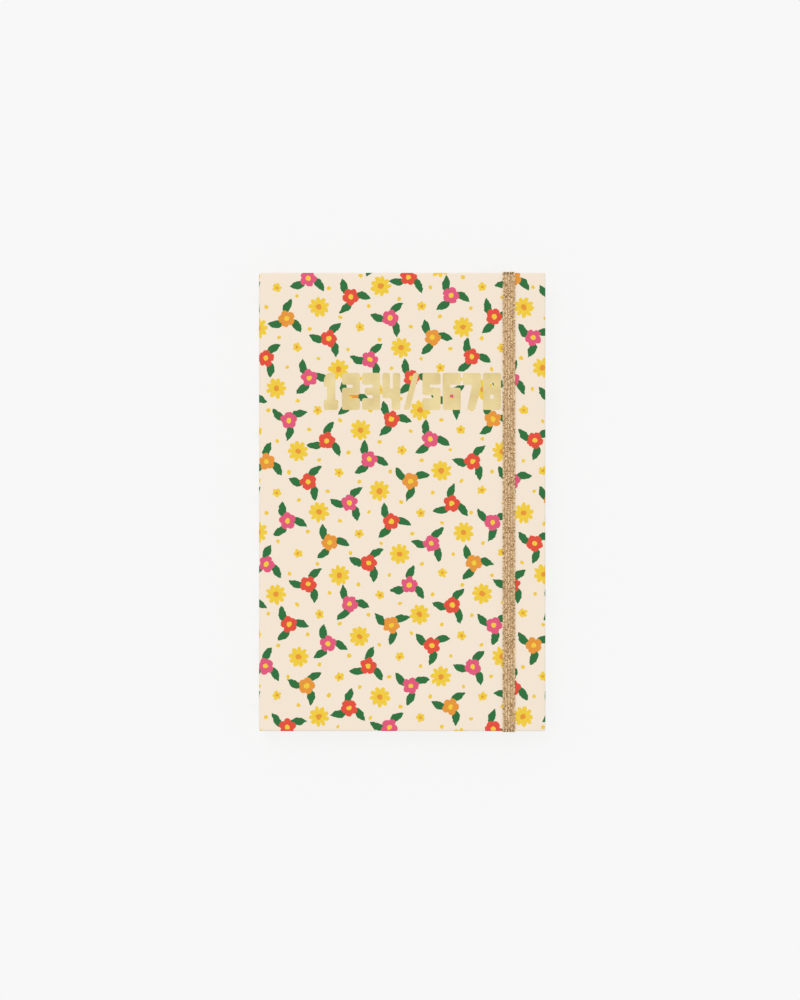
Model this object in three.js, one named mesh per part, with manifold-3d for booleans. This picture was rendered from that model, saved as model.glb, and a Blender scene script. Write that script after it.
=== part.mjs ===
// A monthly planner: a wrapped case with a flat spine, a block of folded sections, and an elastic strap
// that keeps it shut. It lies on its back cover. +Z points out of the front cover, +Y to the head, the
// spine is on the -X side and the fore edge on the +X side. All sizes are in millimetres.

import * as THREE from 'three';
import { mergeVertices } from 'three/addons/utils/BufferGeometryUtils.js';
import Module from 'manifold-3d';

const wasm = await Module();
wasm.setup();

// Case: greyboard wrapped in printed paper
const coverWidth = 127;
const coverHeight = 203.2;
const boardThick = 1.5;
const wrapThick = 0.25;
const coverEdgeRadius = 0.9;
const turnIn = 15;
const mitreSlit = 0.3;
const mitreEnd = 1.5;

// Paper inside
const endpaperThick = 0.15;
const leafThick = 0.097;
const leafSlit = 0.02;
const leavesPerSection = 8;
const sectionCount = 8;
const slitDepth = 40;
const square = 3;
const gutterMargin = 0.6;

// Spine of the block
const liningThick = 0.2;
const liningSetback = 5;
const liningEdge = 0.4;

// Elastic strap
const strapWidth = 5.4;
const strapThick = 0.6;
const strapInset = 16.2;
const strapBend = 0.2;
const strapTuck = 14;

// Clearances
const glueLine = 0.04;
const leafGap = 0.05;
const creaseClear = 0.12;
const hollowGap = 0.2;
const strapClear = 0.08;
const pocketClear = 0.15;
const stepClear = 0.15;
const past = 1;

// Places that follow from the sizes above
const headY = coverHeight / 2;
const spineX = -coverWidth / 2;
const foreX = coverWidth / 2;
const wrappedThick = boardThick + 2 * (wrapThick + glueLine);
const edgeRadius = Math.min(coverEdgeRadius, wrappedThick / 2);
const coverFaceZ = wrappedThick + glueLine + endpaperThick;
const creaseRadius = wrappedThick + creaseClear;
const coverStartX = spineX + creaseRadius + glueLine;
const leafPitch = leafThick + leafSlit;
const sectionThick = leavesPerSection * leafPitch - leafSlit;
const flyleafZ = coverFaceZ + leafGap;
const firstSectionZ = flyleafZ + endpaperThick + leafGap;
const sectionPitch = sectionThick + leafGap;
const plannerThick = 2 * firstSectionZ + sectionCount * sectionPitch - leafGap;
const liningX = spineX + wrappedThick + hollowGap;
const sectionBackX = liningX + liningThick + glueLine;
const pageForeX = foreX - square;
const pageHeadY = headY - square;
const strapX = foreX - strapInset;
const tuckTopZ = wrappedThick - glueLine;
const quarter = Math.PI / 2;
const curveSegments = 6;

// Solids and the ways to make them

function toSolid(geometry) {
  geometry.deleteAttribute('normal');
  geometry.deleteAttribute('uv');
  const merged = mergeVertices(geometry);
  const corners = merged.index.array;
  const triangles = [];
  for (let i = 0; i < corners.length; i += 3) {
    const [a, b, c] = corners.slice(i, i + 3);
    if (a !== b && b !== c && c !== a) triangles.push(a, b, c);
  }
  return new wasm.Manifold(new wasm.Mesh({
    numProp: 3,
    vertProperties: new Float32Array(merged.attributes.position.array),
    triVerts: new Uint32Array(triangles),
  }));
}

function toGeometry(solid) {
  const mesh = solid.getMesh();
  const geometry = new THREE.BufferGeometry();
  geometry.setAttribute('position', new THREE.BufferAttribute(mesh.vertProperties, 3));
  geometry.setIndex(new THREE.BufferAttribute(mesh.triVerts, 1));
  geometry.computeVertexNormals();
  return geometry;
}

function box(x0, x1, y0, y1, z0, z1) {
  const geometry = new THREE.BoxGeometry(x1 - x0, y1 - y0, z1 - z0);
  geometry.translate((x0 + x1) / 2, (y0 + y1) / 2, (z0 + z1) / 2);
  return toSolid(geometry);
}

function extrude(shape, depth) {
  return new THREE.ExtrudeGeometry(shape, { depth, bevelEnabled: false, curveSegments });
}

// The outline is drawn in x and z and runs along y from y0 to y1
function alongY(shape, y0, y1) {
  const geometry = extrude(shape, y1 - y0);
  geometry.rotateX(quarter);
  geometry.translate(0, y1, 0);
  return toSolid(geometry);
}

// The outline is drawn in y and z and runs along x from x0 to x1
function alongX(shape, x0, x1) {
  const geometry = extrude(shape, x1 - x0);
  const turn = new THREE.Matrix4();
  turn.makeBasis(new THREE.Vector3(0, 1, 0), new THREE.Vector3(0, 0, 1), new THREE.Vector3(1, 0, 0));
  geometry.applyMatrix4(turn);
  geometry.translate(x0, 0, 0);
  return toSolid(geometry);
}

// The outline is drawn in x and y and runs along z from z0 to z1
function alongZ(shape, z0, z1) {
  const geometry = extrude(shape, z1 - z0);
  geometry.translate(0, 0, z0);
  return toSolid(geometry);
}

// A rectangle from (a0, b0) to (a1, b1) with a radius of its own at each corner, counted from (a0, b0)
// round by (a1, b0)
function roundedRectangle(a0, a1, b0, b1, [r0, r1, r2, r3]) {
  const shape = new THREE.Shape();
  shape.moveTo(a0 + r0, b0);
  shape.lineTo(a1 - r1, b0);
  if (r1 > 0) shape.absarc(a1 - r1, b0 + r1, r1, -quarter, 0);
  shape.lineTo(a1, b1 - r2);
  if (r2 > 0) shape.absarc(a1 - r2, b1 - r2, r2, 0, quarter);
  shape.lineTo(a0 + r3, b1);
  if (r3 > 0) shape.absarc(a0 + r3, b1 - r3, r3, quarter, 2 * quarter);
  shape.lineTo(a0, b0 + r0);
  if (r0 > 0) shape.absarc(a0 + r0, b0 + r0, r0, 2 * quarter, 3 * quarter);
  return shape;
}

// Case

// The wrapped board's outer form, drawn in by an inset: round on its fore edge, head and tail, cut
// square on the side of the spine
function coverForm(startX, inset) {
  const radius = edgeRadius - inset;
  const z1 = wrappedThick - inset;
  const headZ1 = headY - inset;
  const fromTail = roundedRectangle(startX, foreX - inset, inset, z1, [0, radius, radius, 0]);
  const fromFore = roundedRectangle(-headZ1, headZ1, inset, z1, [radius, radius, radius, radius]);
  return alongY(fromTail, -coverHeight, coverHeight).intersect(alongX(fromFore, startX, foreX));
}

// The room that the strap's two tucked ends take in the wrapped back board
function strapPockets() {
  const x0 = strapX - strapWidth / 2 - pocketClear;
  const x1 = strapX + strapWidth / 2 + pocketClear;
  const inY = headY - strapTuck - pocketClear;
  const z0 = tuckTopZ - strapThick - glueLine;
  const z1 = wrappedThick + past;
  return box(x0, x1, inY, headY + past, z0, z1).add(box(x0, x1, -headY - past, -inY, z0, z1));
}

function makeBoard() {
  return coverForm(coverStartX + creaseClear, wrapThick + glueLine);
}

// The slit where two turned-in flaps meet at 45 degrees, for the head corner or the tail corner
function mitre(side) {
  const flapBottom = wrappedThick - wrapThick - glueLine;
  const length = (turnIn - mitreEnd) * Math.SQRT2 + past;
  const geometry = new THREE.BoxGeometry(length, mitreSlit, 2 * (wrapThick + glueLine));
  geometry.rotateZ(side * quarter / 2);
  const middle = turnIn - (length / 2 - past) / Math.SQRT2;
  geometry.translate(foreX - middle, side * (headY - middle), flapBottom + wrapThick + glueLine);
  return toSolid(geometry);
}

// Printed paper over the outer face, turned in over three edges
function makeWrap() {
  const window = box(
    coverStartX - past, foreX - turnIn,
    turnIn - headY, headY - turnIn,
    wrappedThick / 2, wrappedThick + past,
  );
  const room = coverForm(coverStartX - past, wrapThick);
  return coverForm(coverStartX, 0).subtract(room).subtract(window).subtract(mitre(1)).subtract(mitre(-1));
}

// The pasted leaf lies on the board, and steps up where it covers the turned-in flaps
function makePastedown() {
  const startX = coverStartX + gutterMargin;
  const stepX = foreX - turnIn - stepClear;
  const stepY = headY - turnIn - stepClear;
  const boardZ = wrapThick + boardThick + 2 * glueLine;
  const margin = box(startX, pageForeX, -pageHeadY, pageHeadY, wrappedThick + glueLine, coverFaceZ);
  const middle = box(startX, stepX, -stepY, stepY, boardZ, coverFaceZ);
  const dip = box(
    startX - past, stepX - endpaperThick,
    endpaperThick - stepY, stepY - endpaperThick,
    boardZ + endpaperThick, coverFaceZ + past,
  );
  return margin.add(middle).subtract(dip);
}

// The wrapped spine strip's outer form, drawn in by an inset
function spineForm(inset, z0, z1) {
  const radius = edgeRadius - inset;
  const endY = headY - inset;
  const fromAbove = roundedRectangle(
    spineX + inset, spineX + wrappedThick - inset, -endY, endY, [radius, radius, radius, radius],
  );
  return alongZ(fromAbove, z0, z1);
}

function makeSpineBoard() {
  const z0 = creaseRadius + creaseClear;
  return spineForm(wrapThick + glueLine, z0, plannerThick - z0);
}

function makeSpineWrap() {
  const z0 = creaseRadius + glueLine;
  const window = box(
    spineX + wrappedThick / 2, spineX + wrappedThick + past,
    turnIn - headY, headY - turnIn, 0, plannerThick,
  );
  const room = spineForm(wrapThick, 0, plannerThick);
  return spineForm(0, z0, plannerThick - z0).subtract(room).subtract(window);
}

// The bare strip of wrapping paper that bends between a cover and the spine, a quarter round when shut
function makeCrease() {
  const centreX = spineX + creaseRadius;
  const strip = new THREE.Shape();
  strip.absarc(centreX, creaseRadius, creaseRadius, 2 * quarter, 3 * quarter);
  strip.absarc(centreX, creaseRadius, creaseRadius - wrapThick, 3 * quarter, 2 * quarter, true);
  const size = 4 * creaseRadius;
  const radii = [edgeRadius, edgeRadius, 0, 0];
  const fromFore = roundedRectangle(-headY, headY, 0, size, radii);
  const fromAbove = roundedRectangle(spineX, spineX + size, -headY, headY, [edgeRadius, 0, 0, edgeRadius]);
  const ends = alongX(fromFore, spineX, spineX + size).intersect(alongZ(fromAbove, 0, size));
  return alongY(strip, -headY, headY).intersect(ends);
}

// Pages

// A folded section seen from the tail: a round fold at the spine, and its leaves apart at the fore edge
function makeSection() {
  const radius = sectionThick / 2;
  const shape = new THREE.Shape();
  shape.moveTo(sectionBackX + radius, 0);
  for (let leaf = 0; leaf < leavesPerSection; leaf += 1) {
    const z0 = leaf * leafPitch;
    if (leaf > 0) shape.lineTo(pageForeX - slitDepth, z0);
    shape.lineTo(pageForeX, z0);
    shape.lineTo(pageForeX, z0 + leafThick);
    if (leaf < leavesPerSection - 1) shape.lineTo(pageForeX - slitDepth, z0 + leafThick);
  }
  shape.lineTo(sectionBackX + radius, sectionThick);
  shape.absarc(sectionBackX + radius, radius, radius, quarter, 3 * quarter);
  return alongY(shape, -pageHeadY, pageHeadY);
}

function makeFlyleaf() {
  return box(sectionBackX + sectionThick / 2, pageForeX, -pageHeadY, pageHeadY, 0, endpaperThick);
}

// Open cloth glued over the folds, which holds the sections together
function makeLining() {
  const endY = pageHeadY - liningSetback;
  const z0 = firstSectionZ + liningEdge;
  return box(liningX, liningX + liningThick, -endY, endY, z0, plannerThick - z0);
}

// Elastic strap: a band round the planner from head to tail, open behind the back board, where both
// ends are tucked in over the turned-in paper
function makeStrap() {
  const innerY = headY + strapClear;
  const innerTopZ = plannerThick + strapClear;
  const topRadius = edgeRadius + strapClear;
  const outline = roundedRectangle(
    -innerY - strapThick, innerY + strapThick, tuckTopZ - strapThick, innerTopZ + strapThick,
    [strapBend + strapThick, strapBend + strapThick, topRadius + strapThick, topRadius + strapThick],
  );
  const inside = roundedRectangle(
    -innerY, innerY, tuckTopZ, innerTopZ, [strapBend, strapBend, topRadius, topRadius],
  );
  outline.holes.push(inside);
  const x0 = strapX - strapWidth / 2;
  const x1 = strapX + strapWidth / 2;
  const openY = headY - strapTuck;
  const opening = box(x0 - past, x1 + past, -openY, openY, 0, plannerThick / 2);
  return alongX(outline, x0, x1).subtract(opening);
}

// Materials
const printedPaper = new THREE.MeshStandardMaterial({ color: '#f5e5d3', roughness: 0.6, metalness: 0 });
const greyboard = new THREE.MeshStandardMaterial({ color: '#8f897d', roughness: 0.95, metalness: 0 });
const endpaper = new THREE.MeshStandardMaterial({ color: '#f4ecdd', roughness: 0.85, metalness: 0 });
const pagePaper = new THREE.MeshStandardMaterial({ color: '#fbf7ec', roughness: 0.9, metalness: 0 });
const liningCloth = new THREE.MeshStandardMaterial({ color: '#e6e1d4', roughness: 0.95, metalness: 0 });
const goldElastic = new THREE.MeshStandardMaterial({ color: '#c3a47c', roughness: 0.45, metalness: 0.4 });

function piece(name, solid, material) {
  const mesh = new THREE.Mesh(toGeometry(solid), material);
  mesh.name = name;
  return mesh;
}

// Assembly

// Back cover, lying with its outer face on the table
const backCase = new THREE.Group();
backCase.add(piece('back_board', makeBoard().subtract(strapPockets()), greyboard));
backCase.add(piece('back_wrap', makeWrap().subtract(strapPockets()), printedPaper));
backCase.add(piece('back_pastedown', makePastedown(), endpaper));
backCase.add(piece('back_crease', makeCrease(), printedPaper));

// Front cover: the same pieces turned over about the planner's middle height, without the pockets
const frontCase = new THREE.Group();
frontCase.rotation.x = Math.PI;
frontCase.position.z = plannerThick;
frontCase.add(piece('front_board', makeBoard(), greyboard));
frontCase.add(piece('front_wrap', makeWrap(), printedPaper));
frontCase.add(piece('front_pastedown', makePastedown(), endpaper));
frontCase.add(piece('front_crease', makeCrease(), printedPaper));

// Spine strip, standing between the two covers
const spine = new THREE.Group();
spine.add(piece('spine_board', makeSpineBoard(), greyboard));
spine.add(piece('spine_wrap', makeSpineWrap(), printedPaper));

// Block of pages: section 1 is the first one under the front cover
const block = new THREE.Group();
for (let number = 1; number <= sectionCount; number += 1) {
  const section = piece(`section_${number}`, makeSection(), pagePaper);
  section.position.z = firstSectionZ + (sectionCount - number) * sectionPitch;
  block.add(section);
}
const backFlyleaf = piece('back_flyleaf', makeFlyleaf(), endpaper);
backFlyleaf.position.z = flyleafZ;
const frontFlyleaf = piece('front_flyleaf', makeFlyleaf(), endpaper);
frontFlyleaf.position.z = plannerThick - flyleafZ - endpaperThick;
block.add(backFlyleaf, frontFlyleaf, piece('spine_lining', makeLining(), liningCloth));

const planner = new THREE.Group();
planner.add(backCase, spine, frontCase, block, piece('elastic_strap', makeStrap(), goldElastic));

export default planner;
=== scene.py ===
import math

import bmesh
import bpy
from bpy.props import FloatProperty, FloatVectorProperty, IntProperty, PointerProperty
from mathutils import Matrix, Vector


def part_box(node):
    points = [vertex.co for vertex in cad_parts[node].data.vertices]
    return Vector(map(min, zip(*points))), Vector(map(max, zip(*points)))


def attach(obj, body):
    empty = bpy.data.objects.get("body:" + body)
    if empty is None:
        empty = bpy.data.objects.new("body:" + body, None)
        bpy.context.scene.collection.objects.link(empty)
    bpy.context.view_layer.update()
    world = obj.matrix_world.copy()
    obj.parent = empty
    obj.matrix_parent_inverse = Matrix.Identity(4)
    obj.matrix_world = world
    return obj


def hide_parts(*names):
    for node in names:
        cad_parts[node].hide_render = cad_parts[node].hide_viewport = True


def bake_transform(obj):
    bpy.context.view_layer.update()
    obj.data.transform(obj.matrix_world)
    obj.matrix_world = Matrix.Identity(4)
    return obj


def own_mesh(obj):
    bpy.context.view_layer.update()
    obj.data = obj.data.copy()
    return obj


bl_info = {
    "name": "Monthly planner",
    "version": (1, 0, 0),
    "blender": (4, 5, 0),
    "location": "3D View > Sidebar > Planner",
    "description": "Builds the looks of a hardcover monthly planner round its packed model",
    "category": "Object",
}

# The frame, and the places that the pieces take from it

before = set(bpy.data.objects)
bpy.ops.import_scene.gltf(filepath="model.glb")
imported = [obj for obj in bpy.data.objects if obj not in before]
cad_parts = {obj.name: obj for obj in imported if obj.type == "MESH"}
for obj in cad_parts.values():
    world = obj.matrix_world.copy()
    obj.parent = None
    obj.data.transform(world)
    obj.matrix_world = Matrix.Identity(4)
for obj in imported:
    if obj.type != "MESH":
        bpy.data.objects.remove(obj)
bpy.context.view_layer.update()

MM = 0.001
SHEET_UNITS = 1000.0  # the sheet's own map is in millimetres
QUARTER = math.pi / 2

COVER_LOW, COVER_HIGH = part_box("front_wrap")
SPINE_LOW, SPINE_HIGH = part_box("spine_wrap")
CREASE_LOW, CREASE_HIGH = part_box("front_crease")
LINING_LOW, LINING_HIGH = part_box("spine_lining")
STRAP_LOW, STRAP_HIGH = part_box("elastic_strap")

HEAD_Y = COVER_HIGH.y
SPINE_X = SPINE_LOW.x
FORE_X = COVER_HIGH.x
THICK = COVER_HIGH.z
MIDDLE_Z = THICK / 2
COVER_THICK = COVER_HIGH.z - COVER_LOW.z
SPINE_THICK = SPINE_HIGH.x - SPINE_LOW.x
CREASE_RADIUS = CREASE_HIGH.x - CREASE_LOW.x
STRAP_X = (STRAP_LOW.x + STRAP_HIGH.x) / 2
STRAP_WIDTH = STRAP_HIGH.x - STRAP_LOW.x

# The case: the paper, its round edges, its turn-ins with their mitres, and how finely they are drawn

WRAP_THICK = 0.24 * MM
WALL_THICK = 0.08 * MM  # at the ends of the turn-ins, beside the creases
EDGE_RADIUS = 0.9 * MM
CORNER_RADIUS = 0.5 * MM
TURN_IN = 15 * MM
MITRE_START = 1.5 * MM
MITRE_SLIT = 0.3 * MM
ROLL_STEPS, CREASE_STEPS, HEM_STEPS = 10, 16, 8
ACROSS_STEPS, DOWN_STEPS, LINING_STEPS = 12, 20, 40

# The paper's round edge ends its flat face here
FLAT_X, FLAT_Y = FORE_X - EDGE_RADIUS, HEAD_Y - EDGE_RADIUS

# The fold at the crease's head and tail, behind its round edge: how far in, and how deep, in millimetres
HEM_SHAPE = (
    (0.0, 1.25), (0.03, 1.5), (0.14, 1.7), (0.32, 1.82), (0.58, 1.86), (0.95, 1.8), (1.5, 1.58),
    (2.2, 1.26), (3.1, 0.92), (4.2, 0.66), (5.4, 0.54), (7.0, 0.5), (15.0, 0.5),
)

# How far from the middle of the spine the sheet's map puts each of its folds
HALF_SPINE = MIDDLE_Z - CREASE_RADIUS
CREASE_RUN = CREASE_RADIUS * QUARTER
COVER_RUN = HALF_SPINE + CREASE_RUN

# The strap: its way from the tucked ends round the covers' edges, its rubber band and the stitches over it
STRAP_CLEAR, STRAP_DEEP, STRAP_TUCK = 0.03 * MM, 0.6 * MM, 14 * MM
LOW_BEND, HIGH_BEND = 0.2 * MM, 0.98 * MM
BAND_THICK, BAND_SWELL, BAND_INSET = 0.2 * MM, 0.17 * MM, 0.05 * MM
STITCH_LIFT = 0.32 * MM

# Levels of the attribute glint: the dullest yarn, and the band as it shows between the stitches
DULL_YARN, GROUND = 0.12, 0.31

# The month's grid on the pages that open in the middle, on the right-hand one: the left is its mirror

COLUMNS, ROWS = 4, 5
COLUMN, ROW = 26.0 * MM, 30.0 * MM
GRID_X, GRID_Y = -49.5 * MM, -86.0 * MM
RULE, BAND = 0.25 * MM, 5.0 * MM
DAYS, WEEK, LEFT_DAYS = 31, 7, 3
NUMBER_SIZE, NUMBER_RIGHT, NUMBER_DOWN = 4.4 * MM, 1.6 * MM, 4.6 * MM
INK_HALF, INK_LIFT = 0.004 * MM, 0.006 * MM

# How a mix of colours works: the second is laid over the first, or the first is tinted with it
BLEND = {"data_type": "RGBA"}
TINT = {"data_type": "RGBA", "blend_type": "MULTIPLY"}


def linear(text):
    """A colour written as six hex digits of sRGB, as linear red, green, blue and alpha."""
    values = [int(text[i:i + 2], 16) / 255 for i in (0, 2, 4)]
    return [v / 12.92 if v <= 0.04045 else ((v + 0.055) / 1.055) ** 2.4 for v in values] + [1.0]


def add(tree, kind, inputs=(), **settings):
    """Adds a node with its settings, and gives or links what its inputs read. A node is its first output."""
    made = tree.nodes.new(kind)
    for name, value in settings.items():
        setattr(made, name, value)
    for place, source in inputs.items() if isinstance(inputs, dict) else enumerate(inputs):
        if isinstance(source, bpy.types.Node):
            source = source.outputs[0]
        if isinstance(source, bpy.types.NodeSocket):
            tree.links.new(source, made.inputs[place])
        elif source is not None:
            made.inputs[place].default_value = source
    return made


def new_group(name, kind, inputs, outputs):
    """A node group with named sockets, each with its default or, as a word, its type."""
    tree = bpy.data.node_groups.new(name, kind)
    for in_out, sockets in (("INPUT", inputs), ("OUTPUT", outputs)):
        for label, value in sockets.items():
            word = value if isinstance(value, str) else {float: "Float", int: "Int"}[type(value)]
            made = tree.interface.new_socket(label, in_out=in_out, socket_type="NodeSocket" + word)
            if word != value:
                made.default_value = value
    return tree


def new_material(name):
    """An empty material, and its tree."""
    made = bpy.data.materials.new(name)
    made.use_nodes = True
    made.node_tree.nodes.clear()
    return made, made.node_tree


def new_object(name, data):
    """An object with that data, in the scene."""
    made = bpy.data.objects.new(name, data)
    bpy.context.scene.collection.objects.link(made)
    return made


def steps(start, end, count):
    """Evenly spaced numbers from the start to the end."""
    return [start + (end - start) * i / count for i in range(count + 1)]


# The cover's print: a generic floral of blossoms with leaves, daisies, florets and dots on turned lattices

def lattice_group():
    """Cuts the sheet into a motif's square cells: the place in the cell, the cell and its random numbers."""
    tree = new_group(
        "motif lattice", "ShaderNodeTree",
        {"Point": "Vector", "Pitch": 17.0, "Turn": 0.0, "Shift": "Vector", "Jitter": 1.0, "Seed": 0.0},
        {"Local": "Vector", "Cell": "Vector", "Chance": "Color"})
    given = add(tree, "NodeGroupInput").outputs
    turned = add(tree, "ShaderNodeVectorRotate", {
        "Vector": given["Point"], "Angle": given["Turn"]}, rotation_type="Z_AXIS")
    scaled = add(tree, "ShaderNodeVectorMath", [turned, given["Pitch"]], operation="DIVIDE")
    moved = add(tree, "ShaderNodeVectorMath", [scaled, given["Shift"]], operation="ADD")
    cell = add(tree, "ShaderNodeVectorMath", [moved], operation="FLOOR")
    part = add(tree, "ShaderNodeVectorMath", [moved], operation="FRACTION")
    centred = add(tree, "ShaderNodeVectorMath", [part, (0.5, 0.5, 0.5)], operation="SUBTRACT")
    seeded = add(tree, "ShaderNodeVectorMath", [cell, given["Seed"]], operation="ADD")
    chance = add(tree, "ShaderNodeTexWhiteNoise", {"Vector": seeded}, noise_dimensions="3D").outputs["Color"]
    spread = add(tree, "ShaderNodeVectorMath", [chance, (0.5, 0.5, 0.5)], operation="SUBTRACT")
    jitter = add(tree, "ShaderNodeVectorMath", [spread, given["Jitter"]], operation="MULTIPLY")
    sized = add(tree, "ShaderNodeVectorMath", [centred, given["Pitch"], jitter], operation="MULTIPLY_ADD")
    flat = add(tree, "ShaderNodeVectorMath", [sized, (1, 1, 0)], operation="MULTIPLY")
    add(tree, "NodeGroupOutput", {"Local": flat, "Cell": cell, "Chance": chance})
    return tree


def angle_and_distance(tree, place):
    """Where a place is from the middle of its cell: which way, and how far."""
    axes = add(tree, "ShaderNodeSeparateXYZ", [place]).outputs
    distance = add(tree, "ShaderNodeVectorMath", [place], operation="LENGTH").outputs["Value"]
    return add(tree, "ShaderNodeMath", [axes["Y"], axes["X"]], operation="ARCTAN2"), distance


def petals_group():
    """A round flower seen from above: inside is 1 where the place is nearer than the rim of its petals."""
    tree = new_group(
        "petals", "ShaderNodeTree",
        {"Local": "Vector", "Radius": 3.5, "Petals": 5.0, "Notch": 0.3, "Turn": 0.0}, {"Inside": "Float"})
    given = add(tree, "NodeGroupInput").outputs
    angle, distance = angle_and_distance(tree, given["Local"])
    turned = add(tree, "ShaderNodeMath", [angle, given["Turn"]], operation="ADD")
    halves = add(tree, "ShaderNodeMath", [given["Petals"], 0.5], operation="MULTIPLY")
    waves = add(tree, "ShaderNodeMath", [turned, halves], operation="MULTIPLY")
    cosine = add(tree, "ShaderNodeMath", [waves], operation="COSINE")
    lobe = add(tree, "ShaderNodeMath", [cosine], operation="ABSOLUTE")
    round_lobe = add(tree, "ShaderNodeMath", [lobe, 0.6], operation="POWER")
    short = add(tree, "ShaderNodeMath", [1.0, given["Notch"]], operation="SUBTRACT")
    share = add(tree, "ShaderNodeMath", [round_lobe, given["Notch"], short], operation="MULTIPLY_ADD")
    rim = add(tree, "ShaderNodeMath", [share, given["Radius"]], operation="MULTIPLY")
    add(tree, "NodeGroupOutput", [add(tree, "ShaderNodeMath", [distance, rim], operation="LESS_THAN")])
    return tree


def leaves_group():
    """A whorl of pointed leaves round a flower: inside is 1 on a leaf."""
    tree = new_group(
        "leaves", "ShaderNodeTree",
        {"Local": "Vector", "Turn": 0.0, "Sector": math.tau / 3, "Middle": 5.2, "Half length": 3.8,
         "Half width": 1.8, "Bend": 0.06}, {"Inside": "Float"})
    given = add(tree, "NodeGroupInput").outputs
    angle, distance = angle_and_distance(tree, given["Local"])
    swept = add(tree, "ShaderNodeMath", [distance, given["Bend"], given["Turn"]], operation="MULTIPLY_ADD")
    turned = add(tree, "ShaderNodeMath", [angle, swept], operation="ADD")
    half_sector = add(tree, "ShaderNodeMath", [given["Sector"], 0.5], operation="MULTIPLY")
    minus = add(tree, "ShaderNodeMath", [given["Sector"], -0.5], operation="MULTIPLY")
    folded = add(tree, "ShaderNodeMath", [turned, half_sector, minus], operation="WRAP")
    cosine = add(tree, "ShaderNodeMath", [folded], operation="COSINE")
    sine = add(tree, "ShaderNodeMath", [folded], operation="SINE")
    along = add(tree, "ShaderNodeMath", [distance, cosine], operation="MULTIPLY")
    across = add(tree, "ShaderNodeMath", [distance, sine], operation="MULTIPLY")
    from_middle = add(tree, "ShaderNodeMath", [along, given["Middle"]], operation="SUBTRACT")
    share = add(tree, "ShaderNodeMath", [from_middle, given["Half length"]], operation="DIVIDE")
    squared = add(tree, "ShaderNodeMath", [share, share], operation="MULTIPLY")
    taper = add(tree, "ShaderNodeMath", [1.0, squared], operation="SUBTRACT")
    width = add(tree, "ShaderNodeMath", [taper, given["Half width"]], operation="MULTIPLY")
    side = add(tree, "ShaderNodeMath", [across], operation="ABSOLUTE")
    add(tree, "NodeGroupOutput", [add(tree, "ShaderNodeMath", [side, width], operation="LESS_THAN")])
    return tree


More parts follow.
